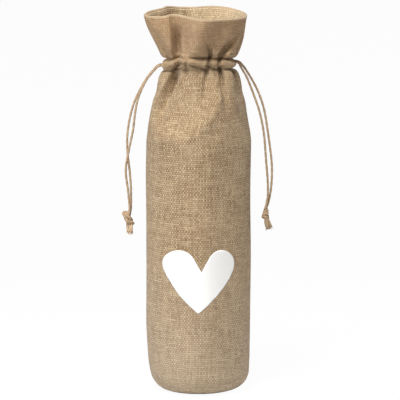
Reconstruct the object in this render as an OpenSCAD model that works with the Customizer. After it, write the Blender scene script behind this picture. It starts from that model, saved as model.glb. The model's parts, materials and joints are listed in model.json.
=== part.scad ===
// Drawstring wine gift bag of coarse woven cloth, standing open and filled out.
// The origin is the middle of the base, +Z is up and the printed front faces -Y.

/* [Body] */
// Diameter of the filled-out body
body_d = 93; // [84:1:104]
// Height from the base to the mouth
bag_h = 336; // [310:2:370]
// Radius of the soft corner round the base
base_corner_r = 17; // [10:1:22]
// Thickness of one layer of cloth
cloth_t = 1.2; // [0.8:0.1:1.5]
// Gap between two layers of cloth that lie on each other
layer_gap = 0.25; // [0.1:0.05:0.4]

/* [Neck and frill] */
// Outside diameter of the gathered neck at the channel's stitched edges
neck_d = 64; // [58:1:74]
// Outside diameter of the open mouth
mouth_d = 91; // [78:1:104]
// Height of the frill above the drawstring channel
frill_h = 40; // [30:1:50]
// Height of the drawstring channel between its two rows of stitches
channel_h = 9; // [8:0.5:12]
// How far the channel puffs out between its stitched edges
channel_puff = 1.5; // [0.5:0.1:2.5]
// Height of the shoulder between the body and the channel
shoulder_h = 65; // [50:1:80]
// Fullness of the shoulder's curve, where 1 is a straight cone
shoulder_bow = 1.4; // [1.1:0.1:2.2]
// Diameter of the throat left open inside the gathers
throat_d = 32; // [28:1:38]
// How far the bunched cloth reaches above and below the channel
gather_hem = 4.5; // [2:0.5:7]

/* [Seams] */
// Width of a sewn seam's turned-in edges
seam_w = 9; // [6:0.5:14]
// Thickness of the sewing thread
thread_d = 0.7; // [0.4:0.1:1]
// Length of one stitch
stitch_l = 3.2; // [2:0.1:5]
// Distance from one stitch to the next
stitch_pitch = 5; // [4:0.5:9]

/* [Drawstrings] */
// Thickness of the twine
cord_d = 2.5; // [1.8:0.1:3]
// Clearance round the twine where it slides through the cloth
cord_clearance = 0.35; // [0.2:0.05:0.5]
// Distance between the two strands of a drawstring where they leave the neck
strand_gap = 8; // [6:0.5:11]
// Width of the knot on the left drawstring
left_knot_w = 10.5; // [8:0.5:13]
// Height of the knot on the left drawstring
left_knot_h = 13.5; // [10:0.5:17]
// Width of the knot on the right drawstring
right_knot_w = 8; // [7:0.5:13]
// Height of the knot on the right drawstring
right_knot_h = 10.5; // [9:0.5:17]

/* [Printed heart] */
// Width of the heart, seen from the front
heart_w = 63; // [40:1:74]
// Height of the heart
heart_h = 56; // [40:1:74]
// Radius of the heart's two lobes
heart_lobe_r = 13.3; // [8:0.1:16]
// Depth of the cleft between the lobes
heart_cleft = 18.8; // [10:0.2:22]
// How far the sides run straight down below the lobes before they turn in
heart_belly = 15; // [6:0.5:20]
// Height of the heart's tip above the base
heart_z = 76; // [40:1:120]
// Thickness of the printed film
print_t = 0.25; // [0.1:0.05:0.4]

/* [Hidden] */

$fn = 96;
corner_steps = 9;
shoulder_steps = 12;
channel_steps = 6;
gather_steps = 12;
heart_steps = 12;

cloth_colour = [0.70, 0.60, 0.47];
lining_colour = [0.78, 0.69, 0.54];
seam_colour = [0.62, 0.52, 0.40];
thread_colour = [0.55, 0.45, 0.33];
twine_colour = [0.72, 0.63, 0.51];
print_colour = [0.97, 0.97, 0.96];

body_r = body_d / 2;
neck_r = neck_d / 2;
mouth_r = mouth_d / 2;
throat_r = throat_d / 2;
base_r = body_r - base_corner_r;
cord_r = cord_d / 2;
slide_r = cord_r + cord_clearance;

// Heights of the channel and of the curve below it
channel_top = bag_h - frill_h;
channel_bottom = channel_top - channel_h;
channel_mid = (channel_top + channel_bottom) / 2;
shoulder_bottom = channel_bottom - shoulder_h;

// The two drawstrings lie one above the other in the channel
left_lane = channel_mid - slide_r;
right_lane = channel_mid + slide_r;
cavity_half_h = 2 * slide_r + layer_gap;

// Each tail hangs from a point just outside the puffed channel
exit_stand_off = 0.4;
exit_x = neck_r + channel_puff + exit_stand_off;

// Insets of the turned-in cloth from the outer face of the bag
facing_outer = cloth_t + layer_gap;
facing_inner = facing_outer + cloth_t;
seam_inner = facing_outer + 2 * cloth_t;

// The bunched cloth round the throat
gather_half_h = channel_h / 2 + gather_hem;
gather_wall_r = neck_r - facing_inner;
gather_depth = gather_wall_r - throat_r;

// The loops of twine lie as deep in the bunched cloth as its inner face allows
gather_face_r = gather_wall_r - gather_depth * sqrt(1 - pow(cavity_half_h / gather_half_h, 2));
loop_wall = 1;
loop_r = gather_face_r + loop_wall + slide_r;
loop_opening = asin((strand_gap / 2 + slide_r) / (loop_r - cord_r));

// A thread lies in a crease between two sloping faces
stitch_lift = 0.12;
stitch_r = neck_r + thread_d / 2 + stitch_lift;
stitch_count = floor(360 / (stitch_pitch / neck_r * 180 / PI));

// Gap under the printed film
print_lift = 0.05;

// Routes of the strands from their exits, in X outwards and to the right, Y and Z
left_back_route = [
    [-1.5, 4, -0.5], [-6, 4, -5], [-13, 4, -14], [-21, 4, -29], [-26, 4, -44],
    [-29, 3.5, -62], [-29, 3, -78], [-27, 2.5, -96], [-26, 2, -112], [-26, 1.5, -132]
];
left_front_route = [
    [-1.5, -4, -0.5], [-6, -4, -5], [-12.5, -4, -13.5], [-19, -4, -28], [-22, -4, -42],
    [-24, -3.5, -58], [-28, -3, -77], [-30.5, -2, -94], [-28.5, -1.5, -112], [-27.5, -1.5, -132]
];
right_back_route = [
    [1.5, 4, -0.5], [6, 4, -6], [13, 4, -17.5], [19, 4, -29], [24, 4, -44],
    [28, 3.5, -66], [31, 2.5, -90], [31, 2, -108], [29, 1.5, -123], [25.5, 1.5, -133.5]
];
right_front_route = [
    [1.5, -4, -0.7], [5, -4, -6], [10, -4, -14], [16.5, -4, -30], [21, -4, -45],
    [24, -3.5, -64], [26, -2.5, -88], [27.5, -2, -106], [27.5, -1.5, -121], [25, -1.5, -132.5]
];
route_steps = 2;
strand_sides = 8;

// Middles of the knots and of the cut ends below them, from the same exits
left_knot_at = [-28.5, 0, -137];
right_knot_at = [25.5, 0, -136];
left_end_spread = [-30, -25.5];
left_end_drop = 151.5;
right_end_spread = [31.5, 25.5];
right_end_drop = 151;
end_y = 1.4;
end_shift = 1;

// The two turns of twine round a knot, as their tilts, and how full they are
knot_tilts = [[0, -24, 0], [14, 30, 0]];
knot_turn_r = 1.2 * cord_r;
knot_bite = 0.7 * knot_turn_r;
knot_steps = 12;

left_exit = [-exit_x, 0, left_lane];
right_exit = [exit_x, 0, right_lane];

// Points of the bag's profile, as radius and height

function shoulder_at(t) = [
    neck_r + (body_r - neck_r) * (1 - pow(t, shoulder_bow)),
    shoulder_bottom + t * shoulder_h
];

function channel_at(t) = [
    neck_r + channel_puff * sin(180 * t),
    channel_bottom + t * channel_h
];

function frill_at(t) = [
    neck_r + (mouth_r - neck_r) * t,
    channel_top + t * frill_h
];

function corner_at(angle, inset) = [
    base_r + (base_corner_r - inset) * sin(angle),
    base_corner_r - (base_corner_r - inset) * cos(angle)
];

// The whole wall from the base to the mouth, drawn in by an inset
function wall(inset) = concat(
    [for (i = [0 : corner_steps]) corner_at(90 * i / corner_steps, inset)],
    [for (i = [0 : shoulder_steps]) shoulder_at(i / shoulder_steps) - [inset, 0]],
    [for (i = [1 : channel_steps]) channel_at(i / channel_steps) - [inset, 0]],
    [frill_at(1) - [inset, 0]]
);

// The stretch of wall that a side seam follows, up to the bunched cloth
function seam_line(inset) =
    let (top = channel_mid - gather_half_h - layer_gap)
    let (reach = (top - shoulder_bottom) / shoulder_h)
    concat(
        [[body_r - inset, base_corner_r]],
        [for (i = [0 : shoulder_steps]) shoulder_at(reach * i / shoulder_steps) - [inset, 0]]
    );

// The turned-in cloth from the mouth down behind the channel
function facing_back() =
    let (bottom = channel_mid - gather_half_h)
    let (reach = (bottom - shoulder_bottom) / shoulder_h)
    concat(
        [shoulder_at(reach) - [facing_outer, 0]],
        [for (i = [0 : channel_steps]) channel_at(i / channel_steps) - [facing_outer, 0]],
        [frill_at(1) - [facing_outer, 0]]
    );

function facing_front() =
    let (clear = (gather_hem + gather_hem / 2) / frill_h)
    concat(
        [for (i = [0 : gather_steps])
            let (angle = 180 * i / gather_steps - 90)
            [gather_wall_r - gather_depth * cos(angle), channel_mid + gather_half_h * sin(angle)]],
        [frill_at(clear) - [facing_inner, 0]],
        [frill_at(1) - [facing_inner, 0]]
    );

function backwards(points) = [for (i = [len(points) - 1 : -1 : 0]) points[i]];

// A smooth curve through the points of a route
function curve_at(points, i, t) =
    let (last = len(points) - 1)
    let (a = points[max(i - 1, 0)], b = points[i], c = points[min(i + 1, last)], d = points[min(i + 2, last)])
    0.5 * (2 * b + (c - a) * t + (2 * a - 5 * b + 4 * c - d) * t * t + (3 * b - a - 3 * c + d) * t * t * t);

function smooth_route(points) = concat(
    [for (i = [0 : len(points) - 2]) for (k = [0 : route_steps - 1]) curve_at(points, i, k / route_steps)],
    [points[len(points) - 1]]
);

function unit(v) = v / norm(v);

// One ring of a tube, square to the route
function ring(path, i, r) =
    let (ahead = path[min(i + 1, len(path) - 1)], behind = path[max(i - 1, 0)])
    let (along = unit(ahead - behind))
    let (side = unit([0, 1, 0] - along.y * along))
    let (up = cross(along, side))
    [for (k = [0 : strand_sides - 1])
        path[i] + r * (cos(360 * k / strand_sides) * side + sin(360 * k / strand_sides) * up)];

module half_turn(is_front) {
    rotate([0, 0, is_front ? 180 : 0])
        rotate_extrude(angle = 180)
            children();
}

// A tube swept along a route
module tube(route, r) {
    path = smooth_route(route);
    rings = len(path);
    n = strand_sides;
    points = [for (i = [0 : rings - 1]) each ring(path, i, r)];
    sides = [
        for (i = [0 : rings - 2])
            for (k = [0 : n - 1])
                let (a = i * n + k, b = i * n + (k + 1) % n)
                each [[a, a + n, b], [b, a + n, b + n]]
    ];
    first = [for (k = [0 : n - 1]) k];
    last = [for (k = [n - 1 : -1 : 0]) (rings - 1) * n + k];
    polyhedron(points, concat(sides, [first, last]), convexity = 4);
}

// Tunnels for the two strands of one drawstring through the side of the neck
module cord_tunnels(side, lane) {
    for (y = [-1, 1])
        translate([side * loop_r, y * strand_gap / 2, lane])
            rotate([0, side * 90, 0])
                cylinder(h = exit_x, r = slide_r);
}

// The flat tunnel that both drawstrings lie in
module channel_cavity() {
    rotate_extrude()
        translate([loop_r - slide_r, channel_mid - cavity_half_h])
            square([2 * slide_r, 2 * cavity_half_h]);
}

module panel(is_front) {
    difference() {
        half_turn(is_front)
            polygon(concat(wall(0), backwards(wall(cloth_t))));
        cord_tunnels(-1, left_lane);
        cord_tunnels(1, right_lane);
    }
}

module facing(is_front) {
    difference() {
        half_turn(is_front)
            polygon(concat(facing_back(), backwards(facing_front())));
        channel_cavity();
        cord_tunnels(-1, left_lane);
        cord_tunnels(1, right_lane);
    }
}

module side_seam(middle) {
    span = 2 * asin(seam_w / 2 / body_r);
    rotate([0, 0, middle - span / 2])
        rotate_extrude(angle = span)
            polygon(concat(seam_line(facing_outer), backwards(seam_line(seam_inner))));
}

module channel_stitches(z) {
    span = stitch_l / stitch_r * 180 / PI;
    for (i = [0 : stitch_count - 1])
        rotate([0, 0, (i + 0.5) * 360 / stitch_count - span / 2])
            rotate_extrude(angle = span)
                translate([stitch_r, z])
                    circle(d = thread_d, $fn = 16);
}

module cord_loop(middle, lane) {
    rotate([0, 0, middle + loop_opening])
        rotate_extrude(angle = 360 - 2 * loop_opening)
            translate([loop_r, lane])
                circle(r = cord_r, $fn = 24);
}

// The straight pieces of twine inside the neck, each with a round end to swing on
module cord_stubs(side, lane) {
    for (y = [-1, 1])
        translate([side * loop_r, y * strand_gap / 2, lane]) {
            rotate([0, side * 90, 0])
                cylinder(h = exit_x - loop_r, r = cord_r, $fn = 24);
            translate([side * (exit_x - loop_r), 0, 0])
                sphere(r = cord_r, $fn = 24);
        }
}

// An overhand knot: a tight core with two turns of twine drawn round it
module knot(w, h) {
    core_r = w / 2 - knot_bite;
    rotate_extrude($fn = 48)
        polygon(concat(
            [[0, -h / 2]],
            [for (i = [1 : knot_steps - 1])
                let (angle = 180 * i / knot_steps)
                [core_r * sin(angle), -h / 2 * cos(angle)]],
            [[0, h / 2]]
        ));
    for (tilt = knot_tilts)
        rotate(tilt)
            rotate_extrude($fn = 48)
                translate([w / 2 - knot_turn_r, 0])
                    circle(r = knot_turn_r, $fn = 24);
}

// A cut end of twine from inside the knot down to its tip
module cord_end(top, tip) {
    run = tip - top;
    translate(top)
        rotate([0, atan2(run.x, run.z), 0])
            cylinder(h = norm(run), r = cord_r, $fn = 24);
}

// The two cut ends below a knot, one in front of the other
module cord_ends(knot_at, knot_h, spread, drop) {
    for (i = [0, 1])
        let (y = i == 0 ? -end_y : end_y, shift = spread[i] > spread[1 - i] ? end_shift : -end_shift)
            cord_end([knot_at.x + shift, y, knot_at.z - knot_h / 4], [spread[i], y, -drop]);
}

// Half of the heart's outline, from its tip up the right-hand side to the cleft
function heart_half() =
    let (lobe_x = heart_w / 2 - heart_lobe_r, lobe_y = heart_h - heart_lobe_r)
    let (cleft_y = heart_h - heart_cleft)
    let (reach = [lobe_x, lobe_y - cleft_y])
    let (turn = atan2(reach.y, reach.x) + 90 + asin(heart_lobe_r / norm(reach)))
    let (hip = [heart_w / 2, lobe_y - heart_belly], top = [heart_w / 2, lobe_y])
    concat(
        [for (i = [0 : heart_steps])
            let (t = i / heart_steps)
            2 * t * (1 - t) * hip + t * t * top],
        [for (i = [1 : heart_steps])
            let (angle = turn * i / heart_steps)
            [lobe_x + heart_lobe_r * cos(angle), lobe_y + heart_lobe_r * sin(angle)]],
        [[0, cleft_y]]
    );

module heart_shape() {
    right = heart_half();
    left = [for (p = backwards(right)) if (p.x > 0) [-p.x, p.y]];
    polygon(concat(right, left));
}

module front_panel() { color(cloth_colour) panel(true); }

module back_panel() { color(cloth_colour) panel(false); }

module base_panel() {
    color(cloth_colour)
        cylinder(h = cloth_t, r = base_r - layer_gap);
}

module front_facing() { color(lining_colour) facing(true); }

module back_facing() { color(lining_colour) facing(false); }

module left_side_seam() { color(seam_colour) side_seam(180); }

module right_side_seam() { color(seam_colour) side_seam(0); }

module base_seam() {
    color(seam_colour)
        rotate_extrude()
            translate([base_r - seam_w, facing_outer])
                square([seam_w, 2 * cloth_t]);
}

module upper_channel_stitches() { color(thread_colour) channel_stitches(channel_top); }

module lower_channel_stitches() { color(thread_colour) channel_stitches(channel_bottom); }

module heart_print() {
    color(print_colour)
        intersection() {
            difference() {
                cylinder(h = bag_h, r = body_r + print_lift + print_t);
                cylinder(h = bag_h, r = body_r + print_lift);
            }
            translate([0, 0, heart_z])
                rotate([90, 0, 0])
                    linear_extrude(height = body_d)
                        heart_shape();
        }
}

module left_cord_loop() { color(twine_colour) cord_loop(180, left_lane); }

module right_cord_loop() { color(twine_colour) cord_loop(0, right_lane); }

module left_cord_stubs() { color(twine_colour) cord_stubs(-1, left_lane); }

module right_cord_stubs() { color(twine_colour) cord_stubs(1, right_lane); }

module left_front_strand() { color(twine_colour) translate(left_exit) tube(left_front_route, cord_r); }

module left_back_strand() { color(twine_colour) translate(left_exit) tube(left_back_route, cord_r); }

module left_knot() {
    color(twine_colour)
        translate(left_exit + left_knot_at)
            knot(left_knot_w, left_knot_h);
}

module left_cord_ends() {
    color(twine_colour)
        translate(left_exit)
            cord_ends(left_knot_at, left_knot_h, left_end_spread, left_end_drop);
}

module right_front_strand() { color(twine_colour) translate(right_exit) tube(right_front_route, cord_r); }

module right_back_strand() { color(twine_colour) translate(right_exit) tube(right_back_route, cord_r); }

module right_knot() {
    color(twine_colour)
        translate(right_exit + right_knot_at)
            knot(right_knot_w, right_knot_h);
}

module right_cord_ends() {
    color(twine_colour)
        translate(right_exit)
            cord_ends(right_knot_at, right_knot_h, right_end_spread, right_end_drop);
}

front_panel();
back_panel();
base_panel();
front_facing();
back_facing();
left_side_seam();
right_side_seam();
base_seam();
upper_channel_stitches();
lower_channel_stitches();
heart_print();
left_cord_loop();
right_cord_loop();
left_cord_stubs();
right_cord_stubs();
left_front_strand();
left_back_strand();
left_knot();
left_cord_ends();
right_front_strand();
right_back_strand();
right_knot();
right_cord_ends();
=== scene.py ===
import json
import math
import random

import bmesh
import bpy
import numpy as np
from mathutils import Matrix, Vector


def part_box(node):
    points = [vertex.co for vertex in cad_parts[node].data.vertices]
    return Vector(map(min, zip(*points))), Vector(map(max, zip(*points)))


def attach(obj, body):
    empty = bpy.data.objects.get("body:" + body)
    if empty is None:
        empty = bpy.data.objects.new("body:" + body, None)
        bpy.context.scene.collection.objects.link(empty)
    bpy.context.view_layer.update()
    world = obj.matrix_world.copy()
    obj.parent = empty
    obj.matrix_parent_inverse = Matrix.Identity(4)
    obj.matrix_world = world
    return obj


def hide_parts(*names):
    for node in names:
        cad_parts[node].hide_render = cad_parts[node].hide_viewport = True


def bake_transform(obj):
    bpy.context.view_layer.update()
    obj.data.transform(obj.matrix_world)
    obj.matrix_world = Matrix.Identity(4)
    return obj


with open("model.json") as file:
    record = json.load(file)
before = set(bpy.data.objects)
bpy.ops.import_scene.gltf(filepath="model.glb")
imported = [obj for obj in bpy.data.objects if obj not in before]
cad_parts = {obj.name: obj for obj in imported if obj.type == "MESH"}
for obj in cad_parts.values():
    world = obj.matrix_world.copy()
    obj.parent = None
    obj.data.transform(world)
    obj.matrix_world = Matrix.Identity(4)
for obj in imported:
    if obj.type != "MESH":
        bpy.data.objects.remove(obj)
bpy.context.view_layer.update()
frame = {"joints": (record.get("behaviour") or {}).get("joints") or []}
mm = 0.001

# the bag's main sizes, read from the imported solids
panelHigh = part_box("front_panel")[1]
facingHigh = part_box("front_facing")[1]
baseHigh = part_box("base_panel")[1]
upperLow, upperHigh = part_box("upper_channel_stitches")
lowerLow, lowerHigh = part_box("lower_channel_stitches")
heartLow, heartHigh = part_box("heart_print")

bag = {
    "bodyR": panelHigh.x / mm,
    "height": panelHigh.z / mm,
    "mouthR": facingHigh.x / mm + 2.4,
    "neckR": upperHigh.x / mm - 0.82,
    "baseR": baseHigh.x / mm + 0.25,
    "channelTop": (upperLow.z + upperHigh.z) / 2 / mm,
    "channelBottom": (lowerLow.z + lowerHigh.z) / 2 / mm,
    "shoulder": 65,
    "shoulderBow": 1.4,
    "neckSwell": 1.2,
    "frillBow": 0.8,
    "cloth": 1.0,
}
cornerR = bag["bodyR"] - bag["baseR"]
channelMid = (bag["channelTop"] + bag["channelBottom"]) / 2
shoulderLow = bag["channelBottom"] - bag["shoulder"]
print("sizes", {key: round(value, 2) for key, value in bag.items()})


# shader wires: arithmetic on a socket adds its nodes
class Wire:
    def __init__(self, shade, socket):
        self.shade = shade
        self.socket = socket

    def calc(self, operation, first, second=None):
        sockets = {0: first}
        if second is not None:
            sockets[1] = second
        return self.shade.node("ShaderNodeMath", {"operation": operation}, sockets)

    def __add__(self, other):
        return self.calc("ADD", self, other)

    def __radd__(self, other):
        return self.calc("ADD", other, self)

    def __sub__(self, other):
        return self.calc("SUBTRACT", self, other)

    def __rsub__(self, other):
        return self.calc("SUBTRACT", other, self)

    def __mul__(self, other):
        return self.calc("MULTIPLY", self, other)

    def __rmul__(self, other):
        return self.calc("MULTIPLY", other, self)

    def __truediv__(self, other):
        return self.calc("DIVIDE", self, other)

    def __pow__(self, other):
        return self.calc("POWER", self, other)

    def __abs__(self):
        return self.calc("ABSOLUTE", self)

    def sine(self):
        return self.calc("SINE", self)

    def floor(self):
        return self.calc("FLOOR", self)

    def clamp(self):
        return self.shade.node("ShaderNodeClamp", None, {"Value": self})


# the node tree of a material or of the world
class Shade:
    def __init__(self, owner):
        owner.use_nodes = True
        self.owner = owner
        self.tree = owner.node_tree
        self.tree.nodes.clear()

    def node(self, kind, settings=None, sockets=None, out=0):
        made = self.tree.nodes.new(kind)
        for key, value in (settings or {}).items():
            setattr(made, key, value)
        for key, value in (sockets or {}).items():
            if isinstance(value, Wire):
                self.tree.links.new(value.socket, made.inputs[key])
            else:
                made.inputs[key].default_value = value
        return Wire(self, made.outputs[out]) if made.outputs else None

    def uv(self, layer):
        place = self.node("ShaderNodeUVMap", {"uv_map": layer})
        axes = self.node("ShaderNodeSeparateXYZ", None, {"Vector": place}).socket.node.outputs
        return Wire(self, axes["X"]), Wire(self, axes["Y"])

    def seenBy(self, *kinds):
        # 1 for any of these kinds of ray
        rays = self.node("ShaderNodeLightPath").socket.node.outputs
        seen = Wire(self, rays[kinds[0]])
        for kind in kinds[1:]:
            seen = seen.calc("MAXIMUM", seen, Wire(self, rays[kind]))
        return seen

    def noise(self, x, y, detail=2.0, rough=0.5, z=0.0):
        place = self.node("ShaderNodeCombineXYZ", None, {"X": x, "Y": y, "Z": z})
        wanted = {"Vector": place, "Scale": 1.0, "Detail": detail, "Roughness": rough}
        return self.node("ShaderNodeTexNoise", {"noise_dimensions": "3D"}, wanted)

    def mix(self, factor, first, second):
        settings = {"data_type": "RGBA", "clamp_factor": True}
        return self.node("ShaderNodeMix", settings, {0: factor, 6: first, 7: second}, 2)

    def surface(self, colour, rough, bump=None, **fixed):
        sockets = {"Base Color": colour, "Roughness": rough}
        if bump is not None:
            sockets["Normal"] = bump
        sockets.update(fixed)
        skin = self.node("ShaderNodeBsdfPrincipled", None, sockets)
        self.node("ShaderNodeOutputMaterial", None, {"Surface": skin})
        return self.owner


def ink(red, green, blue):
    return (red, green, blue, 1.0)


# hessian: a plain weave of uneven yarns, laid along the cloth's own UV map in metres
# the last number of each noise keeps its pattern apart from the others
def hessian(name, look):
    shade = Shade(bpy.data.materials.new(name))
    u, v = shade.uv("cloth")
    sway = shade.noise(u * 55, v * 55, 1.0)
    swayTwo = shade.noise(u * 60, v * 50, 1.0, 0.5, 7.0)
    across = u / look["pitch"] + (sway - 0.5) * look["sway"]
    along = v / look["weftPitch"] + (swayTwo - 0.5) * look["sway"]
    warpNo = across.floor()
    weftNo = along.floor()
    warpTone = shade.noise(warpNo * 3.71, v * look["slubRate"], 2.0, 0.6)
    weftTone = shade.noise(u * look["slubRate"], weftNo * 3.37, 2.0, 0.6, 4.0)
    warpHue = shade.noise(warpNo * 5.13, v * 9, 1.0, 0.5, 11.0)
    weftHue = shade.noise(u * 9, weftNo * 5.71, 1.0, 0.5, 15.0)
    warpArch = abs((across * math.pi).sine())
    weftArch = abs((along * math.pi).sine())
    checker = (across * math.pi).sine() * (along * math.pi).sine()
    warpTop = (checker * 5 + 0.5 + (warpTone - weftTone) * 2.0).clamp()
    warpHump = (warpArch ** 0.7) * (weftArch * 0.4 + 0.6)
    weftHump = (weftArch ** 0.7) * (warpArch * 0.4 + 0.6)
    height = warpTop * warpHump + (1 - warpTop) * weftHump
    tone = warpTop * warpTone + (1 - warpTop) * weftTone
    hue = warpTop * warpHue + (1 - warpTop) * weftHue
    fibre = shade.noise(u * 4200, v * 4200, 2.0, 0.6, 2.0)
    patch = shade.noise(u * 16, v * 16, 2.0, 0.5, 9.0)
    speck = shade.noise(warpNo * 1.73, weftNo * 1.91, 0.0, 0.5, 21.0)
    # besides the random slubs, fibres and patches, the weave's height paints light on the yarn crowns and
    # shade in the dips between them
    lightness = tone * look["slub"] + height * look["relief"] + fibre * 0.3 + patch * 0.2
    lightness = lightness + (speck - 0.5) * look["speck"]
    lightness = lightness + (warpTop - 0.5) * look["twoTone"]
    shown = (lightness - look["middle"]) * look["contrast"] + 0.5
    colour = shade.mix(shown, ink(*look["dark"]), ink(*look["light"]))
    greyed = ((hue - 0.54) * 4).clamp() * 0.5
    colour = shade.mix(greyed, colour, ink(*look["grey"]))
    # painted light: the cloth turns paler towards the bottom, for light thrown back from the floor
    bounceMask = ((look["paintedBounceBelow"] - v) / look["paintedBounceBelow"]).clamp() * look["paintedBounceShare"]
    colour = shade.mix(bounceMask, colour, ink(*look["paintedBounce"]))
    # painted shade: towards the top, over the frill, the cloth is tinted browner and darker for the shade on
    # the downward-facing frill
    above = ((v - look["frillShadeAbove"]) / look["frillShadeOver"]).clamp() * look["frillShade"]
    colour = shade.mix(above, colour, ink(*look["frillShadeBrown"]))
    # painted light: the cloth turned over at the rim is paler, for the light on its upturned top
    edge = ((v - look["rimHighlightAbove"]) / look["rimHighlightOver"]).clamp() * look["rim"]
    colour = shade.mix(edge, colour, ink(*look["rimHighlight"]))
    # painted shade: the gaps between the yarns are darkened towards a deep brown
    gapShade = ((1 - warpArch) * (1 - weftArch)) ** 1.2
    colour = shade.mix(gapShade * look["gapShade"], colour, ink(*look["deep"]))
    relief = height + fibre * 0.25 + tone * 0.5
    bump = shade.node("ShaderNodeBump", None, {
        "Strength": look["bump"], "Distance": look["bumpHeight"], "Height": relief})
    return shade.surface(colour, 0.9 - tone * 0.12, bump, **{
        "Specular IOR Level": 0.18, "Sheen Weight": 0.1, "Sheen Roughness": 0.6})


clothLook = {
    "pitch": 1.33 * mm,
    "weftPitch": 1.78 * mm,
    "sway": 0.55,
    "slubRate": 55,
    "slub": 0.78,
    # relief: painted light on the yarn crowns and painted shade in the dips between them
    "relief": 0.3,
    "twoTone": 0.14,
    "speck": 0.3,
    "middle": 0.85,
    "contrast": 2.1,
    "light": (0.615, 0.475, 0.30),
    "dark": (0.205, 0.118, 0.052),
    "grey": (0.345, 0.262, 0.172),
    # deep: painted shade in the gaps between the yarns
    "deep": (0.08, 0.05, 0.025),
    "gapShade": 0.45,
    # painted light from the floor, towards the bottom of the cloth
    "paintedBounce": (0.50, 0.425, 0.335),
    "paintedBounceShare": 0.38,
    "paintedBounceBelow": 0.15,
    # painted shade over the frill
    "frillShadeBrown": (0.52, 0.29, 0.14),
    "frillShade": 0.35,
    "frillShadeAbove": 0.30,
    "frillShadeOver": 0.05,
    # painted light on the top of the rim fold
    "rimHighlight": (0.66, 0.53, 0.36),
    "rim": 0.55,
    "rimHighlightAbove": 0.3655,
    "rimHighlightOver": 0.0015,
    "bump": 0.55,
    "bumpHeight": 0.6 * mm,
}
# painted light: the inside is the same jute in lighter colours, for the light falling on the inside of the
# mouth, and it has none of the outside's painted frill shade, floor bounce or rim highlight
litInsideLook = dict(clothLook, light=(0.86, 0.70, 0.46), dark=(0.40, 0.28, 0.165),
                  frillShade=0, paintedBounceShare=0, rim=0)


# printed film: white, matt, and let down slightly into the weave below it
def printedFilm(name, look):
    shade = Shade(bpy.data.materials.new(name))
    u, v = shade.uv("cloth")
    across = u / clothLook["pitch"]
    along = v / clothLook["weftPitch"]
    height = abs((across * math.pi).sine()) * abs((along * math.pi).sine())
    wear = shade.noise(u * 900, v * 900, 3.0, 0.6)
    shown = (height * 0.5 + wear * 0.7 - 0.35) * 1.4
    colour = shade.mix(shown, ink(*look["shadow"]), ink(*look["white"]))
    bump = shade.node("ShaderNodeBump", None, {
        "Strength": look["bump"], "Distance": look["bumpHeight"], "Height": height + wear * 0.3})
    return shade.surface(colour, 0.55 + wear * 0.2, bump, **{"Specular IOR Level": 0.25})


printLook = {
    "white": (0.96, 0.96, 0.95),
    "shadow": (0.88, 0.88, 0.87),
    "bump": 0.2,
    "bumpHeight": 0.3 * mm,
}


# twine: fibres run along each ply; u is the way along it and v the way round, in metres
def twineFibre(name, look):
    shade = Shade(bpy.data.materials.new(name))
    u, v = shade.uv("twine")
    streak = shade.noise(u * 160, v * 5200, 3.0, 0.6)
    slub = shade.noise(u * 45, v * 300, 2.0, 0.5, 3.0)
    shown = (streak * 0.75 + slub * 0.6 - 0.68) * 1.9 + 0.5
    colour = shade.mix(shown, ink(*look["dark"]), ink(*look["light"]))
    bump = shade.node("ShaderNodeBump", None, {
        "Strength": look["bump"], "Distance": fibreHeight, "Height": streak})
    return shade.surface(colour, 0.86 - slub * 0.1, bump, **{
        "Specular IOR Level": 0.2, "Sheen Weight": 0.1, "Sheen Roughness": 0.5})


fibreHeight = 0.2 * mm
twineLook = {"light": (0.56, 0.42, 0.275), "dark": (0.30, 0.20, 0.115), "bump": 0.4}
endLook = {"light": (0.74, 0.57, 0.38), "dark": (0.50, 0.35, 0.21), "bump": 0.6}
threadLook = {"light": (0.44, 0.32, 0.20), "dark": (0.25, 0.17, 0.10), "bump": 0.3}

clothFinish = hessian("jute cloth", clothLook)
# painted light: the lighter copy of the cloth, used for the inside
litInsideFinish = hessian("jute cloth inside painted lighter", litInsideLook)
printFinish = printedFilm("white print", printLook)
twineFinish = twineFibre("jute twine", twineLook)
endFinish = twineFibre("jute twine ends", endLook)
threadFinish = twineFibre("sewing thread", threadLook)
print("finishes made")


# camera, light and floor
view = {
    "distance": 3.2,
    "elevation": 9.5,
    "aim": (1.4 * mm, 0, 169.3 * mm),
    "frameWidth": 0.355,
}
camData = bpy.data.cameras.new("camera")
camData.sensor_width = 36
camData.lens = 36 * view["distance"] / view["frameWidth"]
camData.clip_end = 60
cam = bpy.data.objects.new("camera", camData)
bpy.context.scene.collection.objects.link(cam)
tilt = math.radians(view["elevation"])
back = Vector((0, -math.cos(tilt), math.sin(tilt)))
cam.location = Vector(view["aim"]) + back * view["distance"]
cam.rotation_euler = (-back).to_track_quat("-Z", "Y").to_euler()
bpy.context.scene.camera = cam

lamps = [
    {"name": "key", "at": (-0.544, -2.028, 3.817),
     "size": 1.5, "power": 212, "tint": (1.0, 0.985, 0.97)},
    {"name": "left window", "at": (-3.395, -1.805, 1.283),
     "size": 1.5, "power": 52, "tint": (0.98, 1.0, 1.03)},
    {"name": "low front", "at": (-0.747, -3.517, 0.368),
     "size": 1.2, "power": 13, "tint": (1.0, 1.0, 1.0)},
    {"name": "back right", "at": (3.1, 2.6, 1.9),
     "size": 1.6, "power": 70, "tint": (1.0, 0.97, 0.93)},
]
lampAim = Vector((0, 0, 0.18))
for lamp in lamps:
    light = bpy.data.lights.new(lamp["name"], "AREA")
    light.size = lamp["size"]
    light.energy = lamp["power"]
    light.color = lamp["tint"]
    lampObject = bpy.data.objects.new(lamp["name"], light)
    lampObject.location = lamp["at"]
    toBag = lampAim - Vector(lamp["at"])
    lampObject.rotation_euler = toBag.to_track_quat("-Z", "Y").to_euler()
    bpy.context.scene.collection.objects.link(lampObject)

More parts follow.
